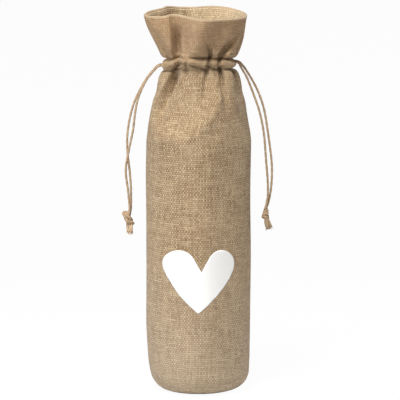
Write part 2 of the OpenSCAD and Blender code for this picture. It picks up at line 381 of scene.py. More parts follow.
# the sky looks white, but hardly lights the bag
sky = Shade(bpy.data.worlds.new("studio"))
skySeen = sky.seenBy("Is Camera Ray", "Is Transmission Ray", "Is Glossy Ray")
skyLevel = sky.node("ShaderNodeMapRange", None, {"Value": skySeen, "To Min": 0.04, "To Max": 1.0})
skyLight = sky.node("ShaderNodeBackground", None, {"Strength": skyLevel})
sky.node("ShaderNodeOutputWorld", None, {"Surface": skyLight})
bpy.context.scene.world = sky.owner
bpy.context.scene.view_settings.view_transform = "Standard"

# the floor looks white too, and throws back less light further away
floorLook = {"near": ink(0.86, 0.86, 0.86), "far": ink(0.5, 0.5, 0.5), "from": 0.2, "over": 0.5, "glow": 0.96}
floorShade = Shade(bpy.data.materials.new("pale floor"))
floorSeen = floorShade.seenBy("Is Camera Ray", "Is Glossy Ray")
spot = floorShade.node("ShaderNodeTexCoord", out=3)
away = floorShade.node("ShaderNodeVectorMath", {"operation": "LENGTH"}, {0: spot}, 1)
far = ((away - floorLook["from"]) / floorLook["over"]).clamp()
card = floorShade.mix(far, floorLook["near"], floorLook["far"])
matt = floorShade.node("ShaderNodeBsdfDiffuse", None, {"Color": card})
glow = floorShade.node("ShaderNodeEmission", None, {"Color": ink(1, 1, 1), "Strength": 1.0})
paper = floorShade.node("ShaderNodeMixShader", None, {0: floorSeen * floorLook["glow"], 1: matt, 2: glow})
floorShade.node("ShaderNodeOutputMaterial", None, {"Surface": paper})
floorMesh = bmesh.new()
bmesh.ops.create_grid(floorMesh, x_segments=2, y_segments=2, size=9)
floorData = bpy.data.meshes.new("floor")
floorMesh.to_mesh(floorData)
floorMesh.free()
floorData.materials.append(floorShade.owner)
floor = bpy.data.objects.new("floor", floorData)
floor.location.z = -0.0002
bpy.context.scene.collection.objects.link(floor)
print("camera, lamps and floor made")


# mesh helpers
def addPiece(name, mesh, finish):
    data = bpy.data.meshes.new(name)
    mesh.to_mesh(data)
    mesh.free()
    data.materials.append(finish)
    for face in data.polygons:
        face.use_smooth = True
    piece = bpy.data.objects.new(name, data)
    bpy.context.scene.collection.objects.link(piece)
    return piece


def gridMesh(points, flat, layer, weld=False, into=None):
    # a create_grid sheet laid over rows of points in metres, with its UV map in metres
    rows, columns = points.shape[:2]
    mesh = into or bmesh.new()
    made = bmesh.ops.create_grid(mesh, x_segments=columns - 1, y_segments=rows - 1, size=0.5)
    uvLayer = mesh.loops.layers.uv.get(layer) or mesh.loops.layers.uv.new(layer)
    place = {}
    for vert in made["verts"]:
        column = round((vert.co.x + 0.5) * (columns - 1))
        row = round((vert.co.y + 0.5) * (rows - 1))
        place[vert] = (row, column)
        vert.co = points[row, column]
    faces = {face for vert in made["verts"] for face in vert.link_faces}
    for face in faces:
        for loop in face.loops:
            loop[uvLayer].uv = flat[place[loop.vert]]
    if weld:
        bmesh.ops.remove_doubles(mesh, verts=made["verts"], dist=1e-7)
    return mesh


def faceTowards(mesh, way):
    # turns a sheet so that its outer side looks this way
    bmesh.ops.recalc_face_normals(mesh, faces=mesh.faces)
    if sum(face.normal.dot(Vector(way)) for face in mesh.faces) < 0:
        bmesh.ops.reverse_faces(mesh, faces=mesh.faces)


def thicken(piece, depth, side=-1.0):
    wall = piece.modifiers.new("cloth thickness", "SOLIDIFY")
    wall.thickness = depth
    wall.offset = side
    wall.use_even_offset = False
    wall.use_quality_normals = True


# twine: two plies twisted round a path of points in metres
def curveThrough(points, steps):
    last = len(points) - 1
    made = []
    for i in range(last):
        a, b = points[max(i - 1, 0)], points[i]
        c, d = points[min(i + 1, last)], points[min(i + 2, last)]
        for k in range(steps):
            t = k / steps
            made.append(0.5 * (2 * b + (c - a) * t + (2 * a - 5 * b + 4 * c - d) * t * t
                               + (3 * b - a - 3 * c + d) * t ** 3))
    made.append(points[last])
    return np.array(made)


def evenSpaced(path, step):
    run = np.concatenate([[0], np.cumsum(np.linalg.norm(np.diff(path, axis=0), axis=1))])
    count = max(4, int(round(run[-1] / step)))
    at = np.linspace(0, run[-1], count + 1)
    return np.stack([np.interp(at, run, path[:, k]) for k in range(3)], axis=1), at


def squareFrames(path):
    # two directions square to the path that turn with it as little as they can
    ahead = np.roll(path, -1, axis=0) - np.roll(path, 1, axis=0)
    ahead[0], ahead[-1] = path[1] - path[0], path[-1] - path[-2]
    ahead /= np.linalg.norm(ahead, axis=1)[:, None]
    side = np.cross(ahead[0], (0.31, 0.87, 0.38))
    sides = []
    for direction in ahead:
        side = side - direction * side.dot(direction)
        side = side / np.linalg.norm(side)
        sides.append(side)
    sides = np.array(sides)
    return sides, np.cross(ahead, sides)


def addTube(mesh, path, along, radius, sides, shift=0.0):
    # radius may change along the path; both ends are closed
    side, up = squareFrames(path)
    angles = np.linspace(0, 2 * math.pi, sides + 1)
    radius = np.broadcast_to(radius, len(path))
    ring = (np.cos(angles)[None, :, None] * side[:, None, :]
            + np.sin(angles)[None, :, None] * up[:, None, :])
    points = path[:, None, :] + ring * radius[:, None, None]
    flat = np.stack(np.broadcast_arrays(along[:, None] + shift,
                                        angles[None, :] * radius.mean()), axis=2)
    before = set(mesh.verts)
    gridMesh(points, flat, "twine", True, mesh)
    fresh = [vert for vert in mesh.verts if vert not in before]
    rim = {edge for vert in fresh for edge in vert.link_edges if edge.is_boundary}
    bmesh.ops.holes_fill(mesh, edges=list(rim), sides=0)


def addTwine(mesh, path, twine, shift=0.0, spread=None, thin=None):
    # spread opens the plies and thin slims them along the path
    path, along = evenSpaced(path, twine["pitch"] / twine["stepsPerTurn"])
    side, up = squareFrames(path)
    turn = 2 * math.pi * along / twine["pitch"] + shift * 50
    apart = np.ones(len(path)) if spread is None else np.interp(along / along[-1], *spread)
    slim = np.ones(len(path)) if thin is None else np.interp(along / along[-1], *thin)
    for ply in range(2):
        angle = turn + math.pi * ply
        offset = twine["plyOffset"] * apart
        line = path + (np.cos(angle) * offset)[:, None] * side \
            + (np.sin(angle) * offset)[:, None] * up
        addTube(mesh, line, along, twine["plyR"] * slim, twine["sides"], shift=shift + ply * 3)
    return path


twine = {
    "diameter": 2.5 * mm,
    "plyR": 0.86 * mm,
    "plyOffset": 0.2 * mm,
    "pitch": 12 * mm,
    "stepsPerTurn": 12,
    "sides": 9,
}

# routes of the hanging strands, from where each drawstring leaves the neck
drawstrings = {
    "left": {
        "back": [(-1.5, 4, -0.5), (-6, 4, -5), (-13, 4, -14), (-21, 4, -29), (-26, 4, -44),
                 (-29, 3.5, -62), (-29, 3, -78), (-27, 2.5, -96), (-26, 2, -112), (-26.2, 1.5, -129),
                 (-28.2, 1, -137)],
        "front": [(-1.5, -4, -0.5), (-6, -4, -5), (-12.5, -4, -13.5), (-19, -4, -28), (-22, -4, -42),
                  (-24, -3.5, -58), (-28, -3, -77), (-30.5, -2, -94), (-28.5, -1.5, -112),
                  (-27.2, -1.5, -129), (-28.4, -1, -137)],
        "knotAt": (-28.5, 0, -137),
        "knotSize": (10.5, 9.0, 13.5),
        "ends": [(-28.8, 1.2, -151.2), (-25.6, -1.2, -151.8)],
        "side": -1,
        "seed": 5,
    },
    "right": {
        "back": [(1.5, 4, -0.5), (6.4, 4, -5.4), (13.6, 4, -16.8), (19.6, 4, -29), (24.4, 4, -44),
                 (28, 3.5, -66), (31, 2.5, -90), (31, 2, -108), (29, 1.5, -123), (25.5, 1.5, -133.5)],
        "front": [(1.5, -4, -0.9), (4.6, -4, -6.2), (9, -4, -14), (15.3, -4, -30), (20.3, -4, -45),
                  (24, -3.5, -64), (26, -2.5, -88), (27.5, -2, -106), (27.5, -1.5, -121),
                  (25, -1.5, -132.5)],
        "knotAt": (25.5, 0, -136),
        "knotSize": (8.0, 7.5, 10.5),
        "ends": [(30.2, 1.2, -150.4), (27.6, -1.2, -151)],
        "side": 1,
        "seed": 8,
    },
}


# a knot is wound from both strands of a drawstring at once
doubled = dict(twine, plyR=1.35 * mm, plyOffset=1.0 * mm, pitch=22 * mm, sides=12)
winding = {
    "turns": 2.15,
    "start": 0.1,
    "steps": 90,
    "twine": 4.2,           # taken off the knot's size, since the path is the twine's middle
    "wide": 0.42,
    "deep": 0.5,
    "tuck": 0.55,
    "drift": 0.5,
    "tilt": 0.16,
    "core": 0.42,
}


def wound(middle, size, lean):
    # the turns of a tight knot: a helix whose upper turn sits to one side and its lower turn to the other
    t = np.linspace(0, 1, winding["steps"])
    angle = 2 * math.pi * (winding["turns"] * t + winding["start"])
    wide, deep, tall = [(part - winding["twine"]) * mm for part in size]
    inward = 1 - winding["tuck"] * np.abs(2 * t - 1) ** 6
    x = winding["wide"] * wide * inward * np.cos(angle) + lean * (0.5 - t) * winding["drift"] * wide
    y = winding["deep"] * deep * inward * np.sin(angle)
    z = tall * (0.5 - t) + winding["tilt"] * tall * lean * np.cos(angle)
    return np.stack([x, y, z], axis=1) + middle


cutEnd = dict(twine, plyR=1.2 * mm, plyOffset=0.6 * mm, pitch=26 * mm, sides=10)
frayLook = {
    "fibres": 14,
    "fibreR": 0.26 * mm,
    "fibreSides": 4,
    "scatter": 0.55 * mm,
    "rootShare": 0.35,      # where an end starts in the knot, on the way out to its tip
    "rootBelow": 1.5,
}


def frayedEnd(mesh, start, finish, chance, fray):
    # a cut end: its plies open out and loose fibres stand past them
    start, finish = np.array(start), np.array(finish)
    way = finish - start
    bow = np.array([chance.uniform(-0.6, 0.6), chance.uniform(-0.4, 0.4), 0]) * mm
    path = curveThrough([start, start + way * 0.45 + bow, start + way * 0.9], 8)
    addTwine(mesh, path, cutEnd, chance.random(), ((0, 0.6, 1), (0.8, 1.2, 1.5)),
             ((0, 0.5, 0.85, 1), (0.9, 1.1, 1.15, 0.8)))
    for i in range(fray["fibres"]):
        around = np.array([chance.gauss(0, 1), chance.gauss(0, 1), 0]) * fray["scatter"]
        root = start + way * chance.uniform(0.45, 0.8) + around
        tip = finish + around * chance.uniform(1.6, 2.6)
        tip[2] += chance.uniform(-0.6, 1.4) * mm
        middle = (root + tip) / 2 + around * 0.4
        hair = curveThrough([root, middle, tip], 3)
        run = np.linspace(0, np.linalg.norm(way), len(hair))
        slim = fray["fibreR"] * np.linspace(1, 0.35, len(hair))
        addTube(mesh, hair, run, slim, fray["fibreSides"], shift=i * 0.013)


endColours = {"left": endFinish, "right": twineFinish}
strandRoot = {"inside": 3.2, "above": 0.3}
strandShift = {"back": 0.11, "front": 0.29}   # so that no two strands show the same fibres
for name, string in drawstrings.items():
    joint = [j for j in frame["joints"] if j["name"] == name + "_swing"][0]
    outlet = np.array(joint["pos_m"])
    string["outlet"] = outlet
    chance = random.Random(string["seed"])
    knotMiddle = outlet + np.array(string["knotAt"]) * mm

    knotMesh = bmesh.new()
    addTwine(knotMesh, wound(knotMiddle, string["knotSize"], string["side"]), doubled, 0.07)
    core = np.array([(0, 0, 1), (0, 0, 0), (0, 0, -1)]) * winding["core"] * string["knotSize"][2] * mm
    core = core + knotMiddle
    addTwine(knotMesh, curveThrough(core, 6), doubled, 0.02)
    knot = addPiece(name + "_tied_knot", knotMesh, twineFinish)
    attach(knot, name + "_tail")
    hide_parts(name + "_knot")

    endMesh = bmesh.new()
    for end in string["ends"]:
        rootX = frayLook["rootShare"] * (end[0] - string["knotAt"][0])
        startAt = knotMiddle + np.array((rootX, end[1], -frayLook["rootBelow"])) * mm
        frayedEnd(endMesh, startAt, outlet + np.array(end) * mm, chance, frayLook)
    ends = addPiece(name + "_frayed_ends", endMesh, endColours[name])
    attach(ends, name + "_tail")
    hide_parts(name + "_cord_ends")

    for which in ("back", "front"):
        root = (-string["side"] * strandRoot["inside"], string[which][0][1], strandRoot["above"])
        route = [outlet + np.array(p) * mm for p in [root] + string[which]]
        path = curveThrough(route, 6)
        strandMesh = bmesh.new()
        laid = addTwine(strandMesh, path, twine, strandShift[which])
        strand = addPiece(f"{name}_{which}_twine", strandMesh, twineFinish)
        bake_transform(strand)
        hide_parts(f"{name}_{which}_strand")
        [tuple(p) for p in laid[::3]] + [tuple(laid[-1])]


# the bag's cloth: radius in mm at an angle from the front, in degrees, and a height
neckShape = {
    "flatten": 0.90,        # front-to-back depth of the neck against its width
    "mouthFlatten": 0.97,
    "flattenRise": (240, 285),
    "mouthRise": (298, 334),
    "mouthShift": -1.4,
    "shiftRise": (300, 336),
    "frontLift": 2.5,       # how much higher the channel runs across the front
    "liftRise": (250, 288),
    "liftFall": (304, 330),
    "pleatR": 36,
    "backPleats": 8,
    "ripples": 22,
    "rippleFoot": 0.25,     # share of the ripples left near the base
    "rippleRise": (60, 230),
    "seed": 21,
}

# folds on the front, by height: where the cloth turns in, its deepest line, where it comes out again
# (all in mm to the right of the middle), its depth, and how far the cloth left of it is pressed in
frontFolds = [
    [(342, -25.8, -21.5, 10, 18, 12), (336, -25.8, -21, 9, 18, 12), (326, -25.6, -18.8, 5, 16, 8.5),
     (316, -25.5, -17.4, 3, 14.5, 5), (308, -25.3, -17.2, 0, 12, 2.5), (301, -25, -17, -3, 8, 1),
     (297, -23.5, -17, -6, 3, 0.5), (292, -22.5, -17, -12, 0, 0)],
    [(328, -24, -18, -9, 0, 0), (318, -24, -17.4, -11, 4, 0), (308, -24, -17.2, -13.4, 6, 0),
     (301, -24, -17, -14, 6, 0), (297, -23.5, -17, -14.8, 5.5, 0), (291, -22.5, -17, -15, 5, 0),
     (287, -24, -16.8, -14, 8, 0), (281, -27, -19.5, -15, 10, 0), (274, -30.5, -24, -18.5, 10.5, 0),
     (264, -36.5, -30, -24, 9.5, 0), (252, -41.5, -35, -27, 5.5, 0), (240, -44, -36.5, -27, 1.8, 0),
     (228, -45, -38, -29, 0, 0)],
    [(322, -9, -6, -1, 0, 0), (312, -11.5, -8.5, -4, 1.4, 0), (303, -12.6, -9.8, -6, 2, 0),
     (296, -12.8, -10.2, -7, 2.4, 0), (291, -12.6, -10.4, -8, 2.5, 0), (287, -12.4, -10, -7, 2.5, 0),
     (276, -13, -9, -3, 1.2, 0), (260, -12, -7, 0, 0, 0)],
    [(314, 5.5, 9, 12.5, 0, 0), (306, 6.8, 10.3, 13.2, 4.5, 0), (300, 7.2, 10.5, 13.2, 8.5, 0),
     (294, 7, 9.6, 11.6, 4, 0), (288, 5.5, 8.3, 11.5, 5, 0), (283, 4.2, 7.8, 12.5, 4.2, 0),
     (274, 2.5, 6.9, 13, 2, 0), (264, 1, 6.5, 13, 0.6, 0), (254, 0, 6, 13, 0, 0)],
    [(328, 30, 36, 41, 0, 0), (318, 29.5, 33, 39.5, 4.5, 0), (312, 23.5, 27.5, 36, 7.5, 0),
     (307, 20, 23.5, 32.5, 9, 0), (300, 16.5, 19.2, 26.5, 9, 0), (296, 16, 18.2, 22.5, 5.5, 0),
     (291, 16, 18.2, 20.8, 3.8, 0), (287, 16, 18.6, 22, 8.5, 0), (280, 17.4, 20.2, 25, 8, 0),
     (272, 19.4, 22.3, 27, 5.5, 0), (265, 20.8, 23.7, 28, 3, 0), (255, 20.5, 24.5, 29, 0.8, 0),
     (246, 20, 25, 30, 0, 0)],
]

# folds at the sides: height, angle from the front, depth, reach to the left and right, softness
sidePleats = [
    [(332, 72, 0, 6, 4, 0.3), (312, 73, 3, 5, 4, 0.2), (300, 74, 5, 4, 3, 0.1),
     (291, 73, 3.5, 3, 3, 0.1), (285, 69, 6.5, 4, 5, 0.1), (275, 66, 7, 5, 7, 0.2),
     (262, 65, 4, 8, 9, 0.4), (246, 66, 1.2, 10, 10, 0.6), (230, 66, 0, 10, 10, 0.6)],
    [(325, -62, 1, 8, 6, 0.4), (305, -66, 3.5, 6, 4, 0.2), (296, -68, 3, 4, 3, 0.1),
     (287, -66, 3, 4, 4, 0.1), (275, -72, 2.4, 6, 6, 0.3), (260, -75, 0, 6, 6, 0.3)],
]


def backPleatRuns(shape):
    chance = random.Random(shape["seed"])
    runs = []
    count = shape["backPleats"]
    for i in range(count):
        at = 100 + 160 * (i + 0.5) / count + chance.uniform(-4, 4)
        deep = chance.uniform(5.0, 9.0)
        lean = chance.uniform(-9, 9)
        up = chance.uniform(0.15, 0.75)
        down = chance.uniform(236, 262)
        left, right = chance.uniform(2, 6), chance.uniform(2, 6)
        runs.append([
            (338, at + lean, deep * up, left * 2.4, right * 2.4, 0.6),
            (316, at + lean * 0.5, deep * (0.5 + up / 2), left * 1.5, right * 1.5, 0.3),
            (302, at, deep, left, right, 0.1), (296, at, deep * 0.7, left * 0.8, right * 0.8, 0.1),
            (291, at, deep * 0.5, left * 0.7, right * 0.7, 0.1),
            (286, at, deep * 0.75, left * 0.8, right * 0.8, 0.1),
            (278, at - lean * 0.3, deep, left, right, 0.15),
            ((278 + down) / 2, at - lean * 0.7, deep * 0.5, left * 1.6, right * 1.6, 0.3),
            (down, at - lean, 0, left * 2, right * 2, 0.6)])
    return runs


pleats = [np.array(run[::-1], float) for run in sidePleats + backPleatRuns(neckShape)]
folds = [np.array(run[::-1], float) for run in frontFolds]
ripple = random.Random(neckShape["seed"] + 1)
ripples = [(ripple.choice((1, 2, 3, 4, 5, 6)), ripple.uniform(10, 46), ripple.uniform(0, 6.28),
            ripple.uniform(0, 6.28), ripple.uniform(0.05, 0.22)) for i in range(neckShape["ripples"])]


def turnedFrom(angle, at):
    return (angle - at + 180) % 360 - 180


def smoothStep(value, low, high):
    t = np.clip((value - low) / (high - low), 0, 1)
    return t * t * (3 - 2 * t)


def windowed(angle, low, high, soft):
    half = soft / 2
    return smoothStep(angle, low - half, low + half) * (1 - smoothStep(angle, high - half, high + half))


def comesAndGoes(z, rise, fall):
    return smoothStep(z, *rise) * (1 - smoothStep(z, *fall))


def hill(angle, at, wide):
    return np.exp(-(turnedFrom(angle, at) / wide) ** 2)


def profileR(z):
    if z < cornerR:
        return bag["baseR"] + math.sqrt(max(0, cornerR ** 2 - (cornerR - z) ** 2))
    if z < shoulderLow:
        return bag["bodyR"]
    if z < bag["channelBottom"]:
        t = (z - shoulderLow) / bag["shoulder"]
        rise = bag["bodyR"] - (bag["bodyR"] - bag["neckR"]) * t ** bag["shoulderBow"]
        return rise + bag["neckSwell"] * math.sin(math.pi * np.clip((t - 0.7) / 0.3, 0, 1))
    if z < bag["channelTop"]:
        return bag["neckR"]
    t = (z - bag["channelTop"]) / (bag["height"] - bag["channelTop"])
    bow = bag["frillBow"] * math.sin(math.pi * min(t, 1))
    return bag["neckR"] + (bag["mouthR"] - bag["neckR"]) * t + bow


def seamAngles(z):
    # above the channel the right seam twists to the front, and the left one a little to the back
    right = np.interp(z, (296, 306, 336), (90, 84, 64))
    left = np.interp(z, (296, 306, 336), (-90, -91, -97))
    return left, right


def creaseHeights(angle):
    # heights of the stitched edges of the channel, above and below it
    top = np.interp(angle, (-180, -60, -34, -22, 0, 40, 70, 180),
                    (296, 295.5, 296.6, 296.8, 297, 296.5, 296, 296))
    low = np.interp(angle, (-180, -100, -80, -66, -50, -36, -30, -22, -14,
                            0, 13, 17, 25, 34, 40, 73, 180),
                    (287, 286.5, 285, 285, 288.5, 292, 292, 291, 290.5,
                     289, 287.2, 288.6, 288.6, 287.4, 287.8, 287, 287))
    return top, low


# the filled body: its front stands out along the middle, and the soft foot hangs in at the sides
bodyFront = {"out": 1.3, "over": (-44, 44, 4), "rise": (8, 45), "fall": (212, 240)}
foot = {
    "heights": (0, 6, 14, 26, 45, 60),
    "dips": (2.0, 3.4, 3.4, 1.6, 0.6, 0),
    "leftOver": (-135, -45, 60),
    "rightOver": (45, 135, 60),
    "rightShare": 0.35,
    "rightHigher": 4,
}


def bodyShape(z, turned):
    edge = np.cos(np.radians(4 * turned)) + 0.25 * np.cos(np.radians(8 * turned)) + 0.75
    edge = edge * windowed(turned, *bodyFront["over"]) * comesAndGoes(z, bodyFront["rise"], bodyFront["fall"])
    leftFoot = np.interp(z, foot["heights"], foot["dips"]) * windowed(turned, *foot["leftOver"])
    rightFoot = np.interp(z - foot["rightHigher"], foot["heights"], foot["dips"]) * foot["rightShare"]
    rightFoot = rightFoot * windowed(turned, *foot["rightOver"])
    return bodyFront["out"] * edge - leftFoot - rightFoot


# the front of the shoulder: pressed in above a brim that runs up to the right
shoulderFront = {
    "brimAngles": (-60, -40, -15, 0, 15, 30, 45),
    "brimHeights": (236, 232, 231, 239, 250, 264, 268),
    "brim": 1.8,
    "brimOver": (-62, 20, 18),
    "brimBelow": 3,
    "brimReach": 7,
    "pressed": 7.4,
    "pressedOver": (-62, 40, 18),
    "pressedWithin": 18,
    "eased": [(0.2, 262, 283), (0.55, 284, 291)],    # share given back, between two heights
    "hollow": 1.0,
    "hollowOver": (-56, 50, 20),
    "hollowFrom": 267.5,
    "hollowTall": 19.5,
}


def shoulderShape(z, turned):
    shape = shoulderFront
    brimAt = np.interp(turned, shape["brimAngles"], shape["brimHeights"])
    brim = np.exp(-((z - brimAt + shape["brimBelow"]) / shape["brimReach"]) ** 2)
    pressed = np.clip((z - brimAt) / shape["pressedWithin"], 0, 1)
    pressed = pressed * (1 - sum(share * smoothStep(z, low, high) for share, low, high in shape["eased"]))
    hollow = np.sin(math.pi * np.clip((z - shape["hollowFrom"]) / shape["hollowTall"], 0, 1))
    return (shape["brim"] * brim * windowed(turned, *shape["brimOver"])
            - shape["pressed"] * pressed * windowed(turned, *shape["pressedOver"])
            - shape["hollow"] * hollow * windowed(turned, *shape["hollowOver"]))


# the drawstring channel: two stitched creases, puffed out between them, and the frill hanging over it
channel = {
    "crease": 3.6,
    "creaseReach": 1.5,
    "flush": 0.85,
    "flushOver": (-32, -18, 6),
    "topDeeper": 1.8,
    "topDeeperOver": [(-4, 26, 8), (38, 64, 8)],
    "lowDeeper": 0.8,
    "lowDeeperOver": (-80, -36, 10),
    "puff": 2.1,
    "overhang": 1.6,
    "overhangOver": (-8, 66, 12),
    "overhangAbove": 4.5,
    "overhangReach": 3.0,
}


def channelShape(z, turned):
    top, low = creaseHeights(turned)
    crease = channel["crease"] * (1 - channel["flush"] * windowed(turned, *channel["flushOver"]))
    deeper = sum(windowed(turned, *over) for over in channel["topDeeperOver"])
    topDepth = crease + channel["topDeeper"] * deeper
    lowDepth = crease + channel["lowDeeper"] * windowed(turned, *channel["lowDeeperOver"])
    sunk = (topDepth * np.exp(-np.abs(z - top) / channel["creaseReach"])
            + lowDepth * np.exp(-np.abs(z - low) / channel["creaseReach"]))
    middle, half = (top + low) / 2, (top - low) / 2
    puff = np.clip(1 - ((z - middle) / half) ** 2, 0, 1)
    overhang = np.exp(-((z - top - channel["overhangAbove"]) / channel["overhangReach"]) ** 2)
    overhang = overhang * windowed(turned, *channel["overhangOver"])
    return channel["puff"] * puff + channel["overhang"] * overhang - sunk


# where the cloth stands out: how far, at which angles, and the heights between which it comes and goes
fullness = [
    {"out": 4.0, "over": (-172, -104, 20), "rise": (300, 316), "fall": (318, 337)},
    {"out": 3.6, "over": (45, 140, 50), "rise": (238, 262), "fall": (306, 345)},
    {"out": 0.6, "over": (-140, -66, 40), "rise": (228, 246), "fall": (258, 280)},
]
ridges = [
    {"out": 3.6, "at": 25, "wide": 10, "rise": (238, 270), "fall": (282, 289)},
    {"out": 2.4, "at": 51, "wide": 9, "rise": (236, 276), "fall": (282, 289)},
    {"out": 1.6, "at": -46, "wide": 10, "rise": (240, 280), "fall": (282, 289)},
    {"out": 2.0, "at": -54, "wide": 12, "rise": (297, 306), "fall": (316, 340)},
]
frillCrest = {"out": 3.0, "heights": (300, 336), "angles": (2, 12), "wide": 15, "rise": (299, 309)}


def fullShape(z, angle, turned):
    out = 0
    for part in fullness:
        rise = comesAndGoes(z, part["rise"], part["fall"])
        out = out + part["out"] * rise * windowed(turned, *part["over"])
    for ridge in ridges:
        rise = comesAndGoes(z, ridge["rise"], ridge["fall"])
        out = out + ridge["out"] * rise * hill(angle, ridge["at"], ridge["wide"])
    crestAt = np.interp(z, frillCrest["heights"], frillCrest["angles"])
    crest = hill(angle, crestAt, frillCrest["wide"]) * smoothStep(z, *frillCrest["rise"])
    swell = neckShape["rippleFoot"]
    swell = swell + (1 - swell) * smoothStep(z, *neckShape["rippleRise"])
    for turns, wave, phase, phaseTwo, size in ripples:
        out = out + swell * size * np.sin(np.radians(angle) * turns + phase) * math.sin(z / wave + phaseTwo)
    return out + frillCrest["out"] * crest


def pleatSink(z, angle):
    # how far the pleats at the sides and the back draw the cloth in
    sunk = 0
    for run in pleats:
        heights = run[:, 0]
        if z < heights[0]:
            continue
        at, deep, left, right, soft = [np.interp(z, heights, run[:, k]) for k in range(1, 6)]
        if deep <= 0:
            continue
        off = np.radians(turnedFrom(angle, at)) * neckShape["pleatR"]
        reach = np.where(off < 0, left, right)
        sunk = sunk + deep * np.exp(soft - np.sqrt((off / reach) ** 2 + soft ** 2))
    return sunk


# side seams: a dip along each, a slit where the twine comes out, and a corner at the mouth
sideSeams = {
    "dip": 1.1,
    "dipReach": 1.1,
    "slit": 6.0,
    "slitHalf": (6.2, 4.2),
    "corners": ((2.6, 15), (1.6, 6)),       # how far out and how wide, left and right
    "cornerRise": (300, 335),
}


def seamShape(z, angle, radius):
    out = 0
    slitWide, slitTall = sideSeams["slitHalf"]
    for seamAt, (corner, wide) in zip(seamAngles(z), sideSeams["corners"]):
        off = np.radians(turnedFrom(angle, seamAt)) * radius
        slit = np.exp(-(np.abs(off) / slitWide) ** 6) * np.exp(-((z - channelMid) / slitTall) ** 6)
        out = out + corner * smoothStep(z, *sideSeams["cornerRise"]) * np.exp(-(off / wide) ** 2)
        out = out - sideSeams["dip"] * np.exp(-np.abs(off) / sideSeams["dipReach"]) - sideSeams["slit"] * slit
    return out


def foldSink(x, outside, crest, bottom, edge, deep, pressed):
    # how far one fold on the front draws the cloth in at each x
    left = pressed * np.clip((x + outside) / (crest + outside), 0, 1)
    flank = pressed + (deep - pressed) * smoothStep(x, crest, bottom)
    wall = deep * (1 - smoothStep(x, bottom, edge))
    return np.where(x < crest, left, np.where(x < bottom, flank, wall))


foldRun = {"deeperInside": 0.08, "straightBack": (266, 288)}


def foldedIn(x, y, z, shown, radius, inset):
    # all folds on the front; those of the shoulder lean towards the bag's middle
    sunkX, sunkY = 0, 0
    for run in folds:
        if run[0, 0] < z < run[-1, 0]:
            crest, bottom, edge, deep, pressed = [np.interp(z, run[:, 0], run[:, k]) for k in range(1, 6)]
            sink = shown * foldSink(x, radius, crest, bottom, edge, deep, pressed)
            sink = sink * (1 + foldRun["deeperInside"] * inset)
            lean = math.asin(bottom / radius) * (1 - smoothStep(z, *foldRun["straightBack"]))
            sunkX, sunkY = sunkX - sink * math.sin(lean), sunkY + sink * math.cos(lean)
    return x + sunkX, y + sunkY


def drawnIn(x, y, inset):
    # the row that lies an inset further in, measured square to the cloth
    reach = max(1, len(x) // 230)
    at = np.arange(len(x))
    ahead, behind = np.minimum(at + reach, len(x) - 1), np.maximum(at - reach, 0)
    runX, runY = x[ahead] - x[behind], y[ahead] - y[behind]
    run = np.hypot(runX, runY)
    return x - inset * runY / run, y + inset * runX / run


throat = {
    "folds": 17,
    "wander": 30,
    "radius": 18.4,
    "deep": 4.6,
    "lead": 7,
    "leadOver": (0, 0.5),       # shares of the gathering in which it moves back, and in
    "drawOver": (0.3, 1),
}


def bunchedUp(x, y, angle, front, bunch):
    # gathered to the throat: first back from the front's folds, then in towards the middle
    wander = angle * throat["folds"] / 2 + throat["wander"] * np.sin(np.radians(angle * 2 + 40))
    wanted = throat["radius"] - throat["deep"] * np.sin(np.radians(wander)) ** 2
    y = y + throat["lead"] * front * smoothStep(bunch, *throat["leadOver"])
    drawn = 1 - smoothStep(bunch, *throat["drawOver"]) * np.clip(1 - wanted / np.hypot(x, y), 0, 1)
    return x * drawn, y * drawn


# the rim's height round the mouth
rimShape = {
    "rise": (310, 336),
    "waves": [(0.5, 3, 1.1), (0.35, 5, 0.4)],                       # height, count and phase
    "sideDip": 0.8,
    "backLift": 2.6,
    "backRound": 0.7,
    "hills": [(2.1, -27, 15), (1.5, -126, 24), (-1.7, 18, 22)],     # height, angle and width
}


def rimLift(z, angle):
    turn = np.radians(angle)
    lift = sum(high * np.sin(turn * count + phase) for high, count, phase in rimShape["waves"])
    lift = lift - rimShape["sideDip"] * np.sin(turn) ** 2
    lift = lift + rimShape["backLift"] * np.clip(-np.cos(turn), 0, 1) ** rimShape["backRound"]
    for high, at, wide in rimShape["hills"]:
        lift = lift + high * hill(angle, at, wide)
    return lift * smoothStep(z, *rimShape["rise"])


def clothRow(z, angle, inset=0.0, bunch=0.0):
    # one level row of cloth, in mm at each angle; inset and bunch draw it in towards the throat
    radius = profileR(z)
    share = 1 - (1 - neckShape["flatten"]) * smoothStep(z, *neckShape["flattenRise"])
    share += (neckShape["mouthFlatten"] - neckShape["flatten"]) * smoothStep(z, *neckShape["mouthRise"])
    sine, cosine = np.sin(np.radians(angle)), np.cos(np.radians(angle))
    front = np.clip(cosine, 0, 1)
    turned = turnedFrom(angle, 0)
    r = radius / np.sqrt(sine ** 2 + (cosine / share) ** 2)
    r = r + bodyShape(z, turned) + shoulderShape(z, turned) + channelShape(z, turned)
    r = r + fullShape(z, angle, turned) - pleatSink(z, angle) + seamShape(z, angle, radius)
    x, y = foldedIn(r * sine, -r * cosine, z, smoothStep(cosine, 0, 0.2), radius, inset)
    if inset > 0:
        x, y = drawnIn(x, y, inset)
    if bunch > 0:
        x, y = bunchedUp(x, y, angle, front, bunch)
    x = x + neckShape["mouthShift"] * smoothStep(z, *neckShape["shiftRise"])
    lift = neckShape["frontLift"] * front * comesAndGoes(z, neckShape["liftRise"], neckShape["liftFall"])
    return np.stack([x, y, z + lift + rimLift(z, angle)], axis=-1)


